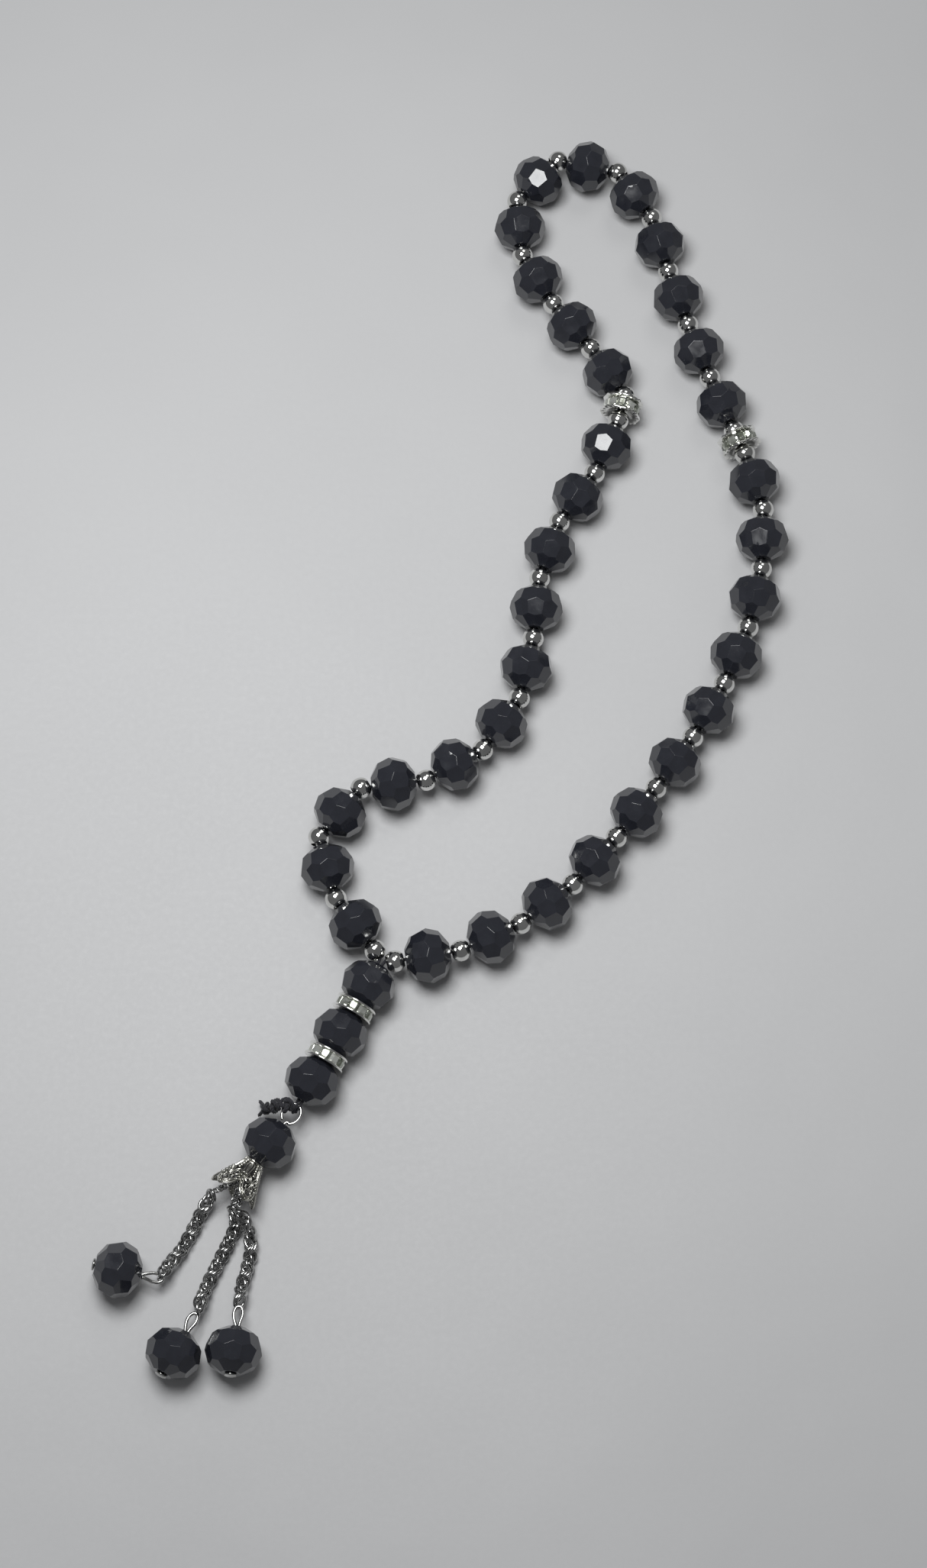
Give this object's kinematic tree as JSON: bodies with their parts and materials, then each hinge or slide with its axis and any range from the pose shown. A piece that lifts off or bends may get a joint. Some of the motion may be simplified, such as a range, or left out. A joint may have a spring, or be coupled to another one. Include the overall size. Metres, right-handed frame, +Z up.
{
  "type": "prayer bead strand",
  "caption": "Looped strand of faceted black glass prayer beads with small silver balls between them, stone-set divider rings, and a silver tassel of chains.",
  "frame": {"origin": "centre of the outline on the table that the strand lies on", "axes": "+Y from the tassel to the far end of the loop, +X to the right, +Z up from the table"},
  "size_m": [0.1273, 0.241, 0.0101],
  "materials": {
    "black_glass": "polished",
    "silver_plate": "polished",
    "rhinestone": "polished",
    "black_cord": "matt"
  },
  "bodies": {
    "strand_root": {"cord_head": "black_cord", "spacer_balls_head": "silver_plate", "head_ring_frames": "silver_plate", "head_ring_stones": "rhinestone"},
    "strand_left": {"cord_left": "black_cord", "spacer_balls_left": "silver_plate"},
    "strand_top": {"cord_top": "black_cord", "spacer_balls_top": "silver_plate", "divider_frames": "silver_plate", "divider_stones": "rhinestone"},
    "strand_right": {"cord_right": "black_cord", "spacer_balls_right": "silver_plate"},
    "tassel_hanger": {"eyepin": "silver_plate", "bead_cap": "silver_plate"},
    "counting_bead_01": {"counting_bead_01": "black_glass"},
    "counting_bead_02": {"counting_bead_02": "black_glass"},
    "counting_bead_03": {"counting_bead_03": "black_glass"},
    "counting_bead_04": {"counting_bead_04": "black_glass"},
    "counting_bead_05": {"counting_bead_05": "black_glass"},
    "counting_bead_06": {"counting_bead_06": "black_glass"},
    "counting_bead_07": {"counting_bead_07": "black_glass"},
    "counting_bead_08": {"counting_bead_08": "black_glass"},
    "counting_bead_09": {"counting_bead_09": "black_glass"},
    "counting_bead_10": {"counting_bead_10": "black_glass"},
    "counting_bead_11": {"counting_bead_11": "black_glass"},
    "counting_bead_12": {"counting_bead_12": "black_glass"},
    "counting_bead_13": {"counting_bead_13": "black_glass"},
    "counting_bead_14": {"counting_bead_14": "black_glass"},
    "counting_bead_15": {"counting_bead_15": "black_glass"},
    "counting_bead_16": {"counting_bead_16": "black_glass"},
    "counting_bead_17": {"counting_bead_17": "black_glass"},
    "counting_bead_18": {"counting_bead_18": "black_glass"},
    "counting_bead_19": {"counting_bead_19": "black_glass"},
    "counting_bead_20": {"counting_bead_20": "black_glass"},
    "counting_bead_21": {"counting_bead_21": "black_glass"},
    "counting_bead_22": {"counting_bead_22": "black_glass"},
    "counting_bead_23": {"counting_bead_23": "black_glass"},
    "counting_bead_24": {"counting_bead_24": "black_glass"},
    "counting_bead_25": {"counting_bead_25": "black_glass"},
    "counting_bead_26": {"counting_bead_26": "black_glass"},
    "counting_bead_27": {"counting_bead_27": "black_glass"},
    "counting_bead_28": {"counting_bead_28": "black_glass"},
    "counting_bead_29": {"counting_bead_29": "black_glass"},
    "counting_bead_30": {"counting_bead_30": "black_glass"},
    "counting_bead_31": {"counting_bead_31": "black_glass"},
    "counting_bead_32": {"counting_bead_32": "black_glass"},
    "counting_bead_33": {"counting_bead_33": "black_glass"},
    "head_bead_1": {"head_bead_1": "black_glass"},
    "head_bead_2": {"head_bead_2": "black_glass"},
    "head_bead_3": {"head_bead_3": "black_glass"},
    "tassel_bead": {"tassel_bead": "black_glass"},
    "chain_1": {"chain_1": "silver_plate"},
    "headpin_1": {"headpin_1": "silver_plate"},
    "drop_bead_1": {"drop_bead_1": "black_glass"},
    "chain_2": {"chain_2": "silver_plate"},
    "headpin_2": {"headpin_2": "silver_plate"},
    "drop_bead_2": {"drop_bead_2": "black_glass"},
    "chain_3": {"chain_3": "silver_plate"},
    "headpin_3": {"headpin_3": "silver_plate"},
    "drop_bead_3": {"drop_bead_3": "black_glass"}
  },
  "joints": [
    {"name": "left_side_sway", "type": "hinge", "parent": "strand_root", "child": "strand_left", "pos_m": [0.0055, -0.0054, 0.00506], "axis": [0, 0, 1], "range_deg": [-12, 12]},
    {"name": "top_loop_sway", "type": "hinge", "parent": "strand_left", "child": "strand_top", "pos_m": [0.027, 0.0501, 0.00506], "axis": [0, 0, 1], "range_deg": [-12, 12]},
    {"name": "right_side_sway", "type": "hinge", "parent": "strand_root", "child": "strand_right", "pos_m": [0.0375, -0.0129, 0.00506], "axis": [0, 0, 1], "range_deg": [-12, 12]},
    {"name": "tassel_swing", "type": "hinge", "parent": "strand_root", "child": "tassel_hanger", "pos_m": [-0.0281, -0.07272, 0.00506], "axis": [0, 0, 1], "range_deg": [-5, 30]},
    {"name": "chain_1_swing", "type": "hinge", "parent": "tassel_hanger", "child": "chain_1", "pos_m": [-0.03712, -0.08514, 0.00506], "axis": [0, 0, 1], "range_deg": [-10, 8]},
    {"name": "headpin_1_swing", "type": "hinge", "parent": "chain_1", "child": "headpin_1", "pos_m": [-0.05227, -0.10269, 0.00363], "axis": [0, 0, 1], "range_deg": [-20, 20]},
    {"name": "chain_2_swing", "type": "hinge", "parent": "tassel_hanger", "child": "chain_2", "pos_m": [-0.03712, -0.08514, 0.00506], "axis": [0, 0, 1], "range_deg": [-6, 0]},
    {"name": "headpin_2_swing", "type": "hinge", "parent": "chain_2", "child": "headpin_2", "pos_m": [-0.04564, -0.10989, 0.00363], "axis": [0, 0, 1], "range_deg": [-25, 0]},
    {"name": "chain_3_swing", "type": "hinge", "parent": "tassel_hanger", "child": "chain_3", "pos_m": [-0.03712, -0.08514, 0.00506], "axis": [0, 0, 1], "range_deg": [0, 6]},
    {"name": "headpin_3_swing", "type": "hinge", "parent": "chain_3", "child": "headpin_3", "pos_m": [-0.03761, -0.10878, 0.00363], "axis": [0, 0, 1], "range_deg": [0, 25]},
    {"name": "counting_bead_01_spin", "type": "hinge", "parent": "strand_root", "child": "counting_bead_01", "pos_m": [-0.01781, -0.03886, 0.00506], "axis": [-0.5983, 0.8012, 0], "continuous": true},
    {"name": "counting_bead_02_spin", "type": "hinge", "parent": "strand_root", "child": "counting_bead_02", "pos_m": [-0.02306, -0.02817, 0.00506], "axis": [-0.2681, 0.9634, 0], "continuous": true},
    {"name": "counting_bead_03_spin", "type": "hinge", "parent": "strand_root", "child": "counting_bead_03", "pos_m": [-0.02087, -0.01762, 0.00506], "axis": [0.6304, 0.7762, 0], "continuous": true},
    {"name": "counting_bead_04_spin", "type": "hinge", "parent": "strand_root", "child": "counting_bead_04", "pos_m": [-0.01103, -0.01216, 0.00506], "axis": [0.9922, 0.125, 0], "continuous": true},
    {"name": "counting_bead_05_spin", "type": "hinge", "parent": "strand_root", "child": "counting_bead_05", "pos_m": [0.00024, -0.0084, 0.00506], "axis": [0.8685, 0.4957, 0], "continuous": true},
    {"name": "counting_bead_06_spin", "type": "hinge", "parent": "strand_left", "child": "counting_bead_06", "pos_m": [0.00891, -0.00037, 0.00506], "axis": [0.5614, 0.8275, 0], "continuous": true},
    {"name": "counting_bead_07_spin", "type": "hinge", "parent": "strand_left", "child": "counting_bead_07", "pos_m": [0.01366, 0.01058, 0.00506], "axis": [0.2196, 0.9756, 0], "continuous": true},
    {"name": "counting_bead_08_spin", "type": "hinge", "parent": "strand_left", "child": "counting_bead_08", "pos_m": [0.01564, 0.02254, 0.00506], "axis": [0.1076, 0.9942, 0], "continuous": true},
    {"name": "counting_bead_09_spin", "type": "hinge", "parent": "strand_left", "child": "counting_bead_09", "pos_m": [0.01824, 0.03433, 0.00506], "axis": [0.3205, 0.9473, 0], "continuous": true},
    {"name": "counting_bead_10_spin", "type": "hinge", "parent": "strand_left", "child": "counting_bead_10", "pos_m": [0.02359, 0.04509, 0.00506], "axis": [0.5622, 0.827, 0], "continuous": true},
    {"name": "counting_bead_11_spin", "type": "hinge", "parent": "strand_top", "child": "counting_bead_11", "pos_m": [0.02936, 0.05562, 0.00506], "axis": [0.3931, 0.9195, 0], "continuous": true},
    {"name": "counting_bead_12_spin", "type": "hinge", "parent": "strand_top", "child": "counting_bead_12", "pos_m": [0.0298, 0.07116, 0.00506], "axis": [-0.5348, 0.845, 0], "continuous": true},
    {"name": "counting_bead_13_spin", "type": "hinge", "parent": "strand_top", "child": "counting_bead_13", "pos_m": [0.02298, 0.08101, 0.00506], "axis": [-0.6025, 0.7981, 0], "continuous": true},
    {"name": "counting_bead_14_spin", "type": "hinge", "parent": "strand_top", "child": "counting_bead_14", "pos_m": [0.01641, 0.091, 0.00506], "axis": [-0.4935, 0.8697, 0], "continuous": true},
    {"name": "counting_bead_15_spin", "type": "hinge", "parent": "strand_top", "child": "counting_bead_15", "pos_m": [0.01299, 0.10219, 0.00506], "axis": [-0.0783, 0.9969, 0], "continuous": true},
    {"name": "counting_bead_16_spin", "type": "hinge", "parent": "strand_top", "child": "counting_bead_16", "pos_m": [0.01659, 0.11256, 0.00506], "axis": [0.6792, 0.734, 0], "continuous": true},
    {"name": "counting_bead_17_spin", "type": "hinge", "parent": "strand_top", "child": "counting_bead_17", "pos_m": [0.02651, 0.11569, 0.00506], "axis": [0.9774, -0.2115, 0], "continuous": true},
    {"name": "counting_bead_18_spin", "type": "hinge", "parent": "strand_top", "child": "counting_bead_18", "pos_m": [0.03564, 0.1094, 0.00506], "axis": [0.5452, -0.8383, 0], "continuous": true},
    {"name": "counting_bead_19_spin", "type": "hinge", "parent": "strand_top", "child": "counting_bead_19", "pos_m": [0.04043, 0.09858, 0.00506], "axis": [0.2542, -0.9671, 0], "continuous": true},
    {"name": "counting_bead_20_spin", "type": "hinge", "parent": "strand_top", "child": "counting_bead_20", "pos_m": [0.04375, 0.08707, 0.00506], "axis": [0.2997, -0.954, 0], "continuous": true},
    {"name": "counting_bead_21_spin", "type": "hinge", "parent": "strand_top", "child": "counting_bead_21", "pos_m": [0.04754, 0.0757, 0.00506], "axis": [0.3329, -0.943, 0], "continuous": true},
    {"name": "counting_bead_22_spin", "type": "hinge", "parent": "strand_top", "child": "counting_bead_22", "pos_m": [0.05171, 0.06447, 0.00506], "axis": [0.363, -0.9318, 0], "continuous": true},
    {"name": "counting_bead_23_spin", "type": "hinge", "parent": "strand_top", "child": "counting_bead_23", "pos_m": [0.05741, 0.04837, 0.00506], "axis": [0.2663, -0.9639, 0], "continuous": true},
    {"name": "counting_bead_24_spin", "type": "hinge", "parent": "strand_right", "child": "counting_bead_24", "pos_m": [0.05864, 0.03653, 0.00506], "axis": [-0.0594, -0.9982, 0], "continuous": true},
    {"name": "counting_bead_25_spin", "type": "hinge", "parent": "strand_right", "child": "counting_bead_25", "pos_m": [0.05685, 0.02457, 0.00506], "axis": [-0.2352, -0.972, 0], "continuous": true},
    {"name": "counting_bead_26_spin", "type": "hinge", "parent": "strand_right", "child": "counting_bead_26", "pos_m": [0.05304, 0.01309, 0.00506], "axis": [-0.393, -0.9195, 0], "continuous": true},
    {"name": "counting_bead_27_spin", "type": "hinge", "parent": "strand_right", "child": "counting_bead_27", "pos_m": [0.0476, 0.00226, 0.00506], "axis": [-0.5031, -0.8642, 0], "continuous": true},
    {"name": "counting_bead_28_spin", "type": "hinge", "parent": "strand_right", "child": "counting_bead_28", "pos_m": [0.04102, -0.00794, 0.00506], "axis": [-0.5792, -0.8152, 0], "continuous": true},
    {"name": "counting_bead_29_spin", "type": "hinge", "parent": "strand_root", "child": "counting_bead_29", "pos_m": [0.03377, -0.01763, 0.00506], "axis": [-0.6196, -0.7849, 0], "continuous": true},
    {"name": "counting_bead_30_spin", "type": "hinge", "parent": "strand_root", "child": "counting_bead_30", "pos_m": [0.02597, -0.02683, 0.00506], "axis": [-0.6727, -0.7399, 0], "continuous": true},
    {"name": "counting_bead_31_spin", "type": "hinge", "parent": "strand_root", "child": "counting_bead_31", "pos_m": [0.01713, -0.03499, 0.00506], "axis": [-0.7912, -0.6116, 0], "continuous": true},
    {"name": "counting_bead_32_spin", "type": "hinge", "parent": "strand_root", "child": "counting_bead_32", "pos_m": [0.00687, -0.04123, 0.00506], "axis": [-0.9069, -0.4213, 0], "continuous": true},
    {"name": "counting_bead_33_spin", "type": "hinge", "parent": "strand_root", "child": "counting_bead_33", "pos_m": [-0.00456, -0.04477, 0.00506], "axis": [-0.9863, -0.165, 0], "continuous": true},
    {"name": "head_bead_1_spin", "type": "hinge", "parent": "strand_root", "child": "head_bead_1", "pos_m": [-0.0154, -0.0502, 0.00506], "axis": [-0.4879, -0.8729, 0], "continuous": true},
    {"name": "head_bead_2_spin", "type": "hinge", "parent": "strand_root", "child": "head_bead_2", "pos_m": [-0.02032, -0.059, 0.00506], "axis": [-0.4879, -0.8729, 0], "continuous": true},
    {"name": "head_bead_3_spin", "type": "hinge", "parent": "strand_root", "child": "head_bead_3", "pos_m": [-0.02524, -0.0678, 0.00506], "axis": [-0.4879, -0.8729, 0], "continuous": true},
    {"name": "tassel_bead_spin", "type": "hinge", "parent": "tassel_hanger", "child": "tassel_bead", "pos_m": [-0.03266, -0.07899, 0.00506], "axis": [-0.5879, -0.8089, 0], "continuous": true},
    {"name": "drop_bead_1_spin", "type": "hinge", "parent": "headpin_1", "child": "drop_bead_1", "pos_m": [-0.0589, -0.1014, 0.00506], "axis": [-0.9602, 0.1866, 0.2079], "continuous": true},
    {"name": "drop_bead_2_spin", "type": "hinge", "parent": "headpin_2", "child": "drop_bead_2", "pos_m": [-0.0487, -0.1159, 0.00506], "axis": [-0.4441, -0.8715, 0.2079], "continuous": true},
    {"name": "drop_bead_3_spin", "type": "hinge", "parent": "headpin_3", "child": "drop_bead_3", "pos_m": [-0.0382, -0.1155, 0.00506], "axis": [-0.0853, -0.9744, 0.2079], "continuous": true}
  ],
  "couplings": [
    {"joint": "top_loop_sway", "follows": "left_side_sway", "ratio": -1},
    {"joint": "right_side_sway", "follows": "left_side_sway", "ratio": 1}
  ]
}
